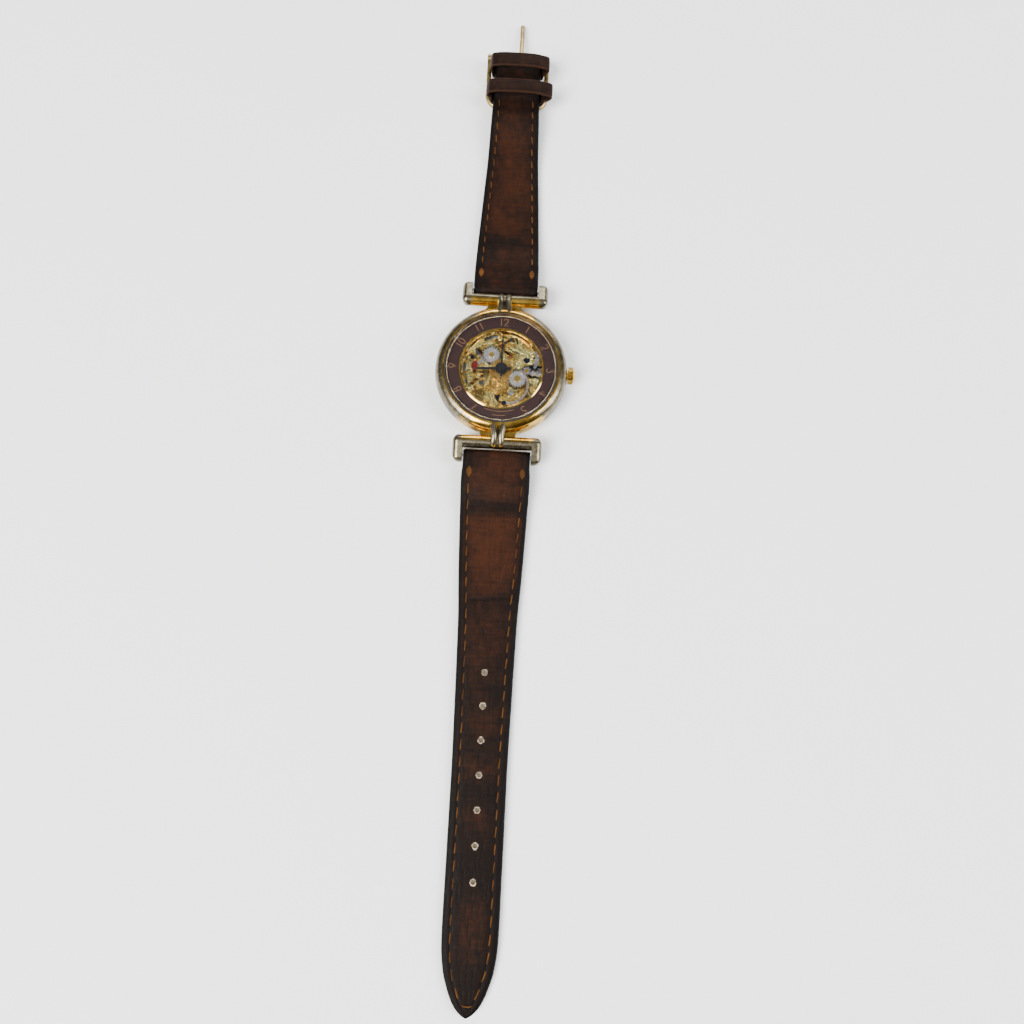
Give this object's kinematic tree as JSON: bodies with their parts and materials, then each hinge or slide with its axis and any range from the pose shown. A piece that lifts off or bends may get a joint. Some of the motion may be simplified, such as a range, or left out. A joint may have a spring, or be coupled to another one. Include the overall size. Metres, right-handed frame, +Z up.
{
  "type": "skeleton wristwatch",
  "caption": "small round hand-wound skeleton wristwatch with a gilt openworked movement, brown chapter ring, bar lugs and a worn brown leather strap with pin buckle",
  "frame": {"origin": "centre of the case back rest face", "axes": "+Z up through the crystal, +X to the winding crown, +Y to the buckle end of the strap"},
  "size_m": [0.0334, 0.2389, 0.0082],
  "materials": {
    "plated_case": "polished gold plating, worn to grey metal on the high edges",
    "crystal": "clear domed crystal",
    "back_glass": "clear flat glass",
    "seal": "matt black",
    "chapter": "dark brown enamel with a sunray sheen",
    "polished_gold": "bright polished gold",
    "movement_gold": "engraved gilt plate",
    "wheel_brass": "gilt brass",
    "wheel_steel": "circular brushed steel",
    "steel": "polished steel",
    "blued_steel": "blued steel",
    "hand_black": "gloss black",
    "ruby": "clear synthetic ruby",
    "strap_leather": "worn brown leather embossed with large scales, tan stitching",
    "keeper_leather": "smooth brown leather with lighter edges",
    "buckle_brass": "dull worn brass"
  },
  "bodies": {
    "root": {"mid_case": "plated_case", "bezel": "plated_case", "crystal": "crystal", "gaskets": "seal", "case_back": "steel", "back_glass": "back_glass", "movement_ring": "movement_gold", "lug_bar_12": "plated_case", "lug_bar_6": "plated_case", "lug_links": "plated_case", "spring_bars": "steel", "chapter_ring": "chapter", "inner_ring": "polished_gold", "rehaut_ring": "polished_gold", "wheel_studs": "polished_gold", "main_plate": "movement_gold", "barrel_bridge": "movement_gold", "train_bridge": "movement_gold", "balance_cock": "movement_gold", "pallet_bridge": "movement_gold", "jewels": "ruby", "movement_screws": "blued_steel", "crown_tube": "steel", "click_spring": "steel", "setting_jumper": "steel", "hairspring": "blued_steel"},
    "winding_clutch": {"winding_pinion": "steel"},
    "crown_and_stem": {"crown": "plated_case", "winding_stem": "steel"},
    "sliding_clutch": {"sliding_pinion": "steel"},
    "crown_wheel": {"crown_wheel": "wheel_steel"},
    "barrel_arbor": {"barrel_arbor": "steel", "ratchet_wheel": "wheel_steel"},
    "click": {"click": "steel"},
    "setting_lever": {"setting_lever": "steel"},
    "yoke": {"yoke": "steel"},
    "minute_hand": {"minute_hand": "hand_black", "cannon_pinion": "hand_black"},
    "hour_hand": {"hour_hand": "hand_black", "hour_wheel": "wheel_brass"},
    "minute_wheel": {"minute_wheel": "wheel_brass"},
    "setting_wheel": {"setting_wheel": "wheel_steel"},
    "small_setting_wheel": {"small_setting_wheel": "wheel_steel"},
    "barrel": {"barrel": "wheel_brass", "mainspring": "steel"},
    "centre_wheel": {"centre_wheel": "wheel_brass"},
    "third_wheel": {"third_wheel": "wheel_brass"},
    "fourth_wheel": {"fourth_wheel": "wheel_brass"},
    "escape_wheel": {"escape_wheel": "wheel_steel"},
    "pallet": {"pallet_fork": "steel", "pallet_stones": "ruby"},
    "balance": {"balance_wheel": "wheel_brass", "roller_jewel": "ruby"},
    "strap_12": {"strap_12": "strap_leather", "fixed_keeper": "keeper_leather", "buckle_pin": "buckle_brass"},
    "strap_6": {"strap_6": "strap_leather"},
    "free_keeper": {"free_keeper": "keeper_leather"},
    "buckle": {"buckle_frame": "buckle_brass"},
    "prong": {"buckle_prong": "buckle_brass"}
  },
  "joints": [
    {"name": "minute_hand_turn", "type": "hinge", "parent": "root", "child": "minute_hand", "pos_m": [0, 0, 0.0049], "axis": [0, 0, 1], "continuous": true},
    {"name": "hour_hand_turn", "type": "hinge", "parent": "root", "child": "hour_hand", "pos_m": [0, 0, 0.0052], "axis": [0, 0, 1], "continuous": true},
    {"name": "minute_wheel_turn", "type": "hinge", "parent": "root", "child": "minute_wheel", "pos_m": [-0.00037, -0.00318, 0.0049], "axis": [0, 0, 1], "continuous": true},
    {"name": "setting_wheel_turn", "type": "hinge", "parent": "root", "child": "setting_wheel", "pos_m": [0.0039, -0.0021, 0.0049], "axis": [0, 0, 1], "continuous": true},
    {"name": "small_setting_wheel_turn", "type": "hinge", "parent": "root", "child": "small_setting_wheel", "pos_m": [0.00604, 0, 0.0049], "axis": [0, 0, 1], "continuous": true},
    {"name": "crown_turn", "type": "hinge", "parent": "root", "child": "winding_clutch", "pos_m": [0.0091, 0, 0.0032], "axis": [1, 0, 0], "continuous": true},
    {"name": "crown_pull", "type": "slide", "parent": "winding_clutch", "child": "crown_and_stem", "axis": [1, 0, 0], "range_m": [0, 0.0009]},
    {"name": "clutch_shift", "type": "slide", "parent": "winding_clutch", "child": "sliding_clutch", "axis": [1, 0, 0], "range_m": [-0.00061, 0]},
    {"name": "crown_wheel_turn", "type": "hinge", "parent": "root", "child": "crown_wheel", "pos_m": [0.00669, 0, 0.0017], "axis": [0, 0, 1], "continuous": true},
    {"name": "barrel_arbor_turn", "type": "hinge", "parent": "root", "child": "barrel_arbor", "pos_m": [0.00257, -0.00552, 0.003], "axis": [0, 0, 1], "continuous": true},
    {"name": "click_turn", "type": "hinge", "parent": "root", "child": "click", "pos_m": [-0.0033, -0.0085, 0.00165], "axis": [0, 0, 1], "range_deg": [0, 14], "stiffness_Nm_per_rad": 0.000001},
    {"name": "setting_lever_turn", "type": "hinge", "parent": "root", "child": "setting_lever", "pos_m": [0.01, 0.0029, 0.0048], "axis": [0, 0, 1], "range_deg": [0, 18.6]},
    {"name": "yoke_turn", "type": "hinge", "parent": "root", "child": "yoke", "pos_m": [0.0086, 0.004, 0.00505], "axis": [0, 0, 1], "range_deg": [-11.5, 0]},
    {"name": "fourth_wheel_turn", "type": "hinge", "parent": "root", "child": "fourth_wheel", "pos_m": [-0.00026, 0.00599, 0.0026], "axis": [0, 0, 1], "continuous": true},
    {"name": "third_wheel_turn", "type": "hinge", "parent": "root", "child": "third_wheel", "pos_m": [0.00198, 0.00343, 0.003], "axis": [0, 0, 1], "continuous": true},
    {"name": "centre_wheel_turn", "type": "hinge", "parent": "root", "child": "centre_wheel", "pos_m": [0, 0, 0.0035], "axis": [0, 0, 1], "continuous": true},
    {"name": "barrel_turn", "type": "hinge", "parent": "root", "child": "barrel", "pos_m": [0.00257, -0.00552, 0.003], "axis": [0, 0, 1], "continuous": true},
    {"name": "escape_wheel_turn", "type": "hinge", "parent": "root", "child": "escape_wheel", "pos_m": [-0.0025, 0.0036, 0.0048], "axis": [0, 0, 1], "continuous": true},
    {"name": "pallet_rock", "type": "hinge", "parent": "root", "child": "pallet", "pos_m": [-0.00454, 0.00196, 0.0051], "axis": [0, 0, 1], "range_deg": [-5, 5]},
    {"name": "balance_swing", "type": "hinge", "parent": "root", "child": "balance", "pos_m": [-0.00635, 0.0005, 0.0031], "axis": [0, 0, 1], "range_deg": [-150, 150], "stiffness_Nm_per_rad": 0.00000013},
    {"name": "strap_12_swing", "type": "hinge", "parent": "root", "child": "strap_12", "pos_m": [0, 0.02095, 0.0034], "axis": [1, 0, 0], "range_deg": [-95, 75]},
    {"name": "strap_6_swing", "type": "hinge", "parent": "root", "child": "strap_6", "pos_m": [0, -0.02095, 0.0034], "axis": [1, 0, 0], "range_deg": [-75, 95]},
    {"name": "free_keeper_slide", "type": "slide", "parent": "strap_12", "child": "free_keeper", "axis": [0, 1, 0], "range_m": [0, 0.0036]},
    {"name": "buckle_swing", "type": "hinge", "parent": "strap_12", "child": "buckle", "pos_m": [0, 0.086, 0.00295], "axis": [1, 0, 0], "range_deg": [0, 150]},
    {"name": "prong_swing", "type": "hinge", "parent": "strap_12", "child": "prong", "pos_m": [0, 0.086, 0.00295], "axis": [1, 0, 0], "range_deg": [-25, 110]}
  ],
  "couplings": [
    {"joint": "minute_wheel_turn", "follows": "minute_hand_turn", "ratio": -0.33333},
    {"joint": "hour_hand_turn", "follows": "minute_hand_turn", "ratio": 0.083333},
    {"joint": "setting_wheel_turn", "follows": "minute_hand_turn", "ratio": 0.4},
    {"joint": "small_setting_wheel_turn", "follows": "minute_hand_turn", "ratio": -0.8},
    {"joint": "crown_wheel_turn", "follows": "crown_turn", "ratio": 0.59259},
    {"joint": "barrel_arbor_turn", "follows": "crown_turn", "ratio": -0.2963},
    {"joint": "clutch_shift", "follows": "crown_pull", "ratio": -0.66667},
    {"joint": "setting_lever_turn", "follows": "crown_pull", "rad_per_m": 357.3},
    {"joint": "yoke_turn", "follows": "crown_pull", "rad_per_m": -217.1},
    {"joint": "third_wheel_turn", "follows": "fourth_wheel_turn", "ratio": -0.13333},
    {"joint": "centre_wheel_turn", "follows": "fourth_wheel_turn", "ratio": 0.016667},
    {"joint": "barrel_turn", "follows": "fourth_wheel_turn", "ratio": -0.0027778},
    {"joint": "escape_wheel_turn", "follows": "fourth_wheel_turn", "ratio": -10}
  ]
}
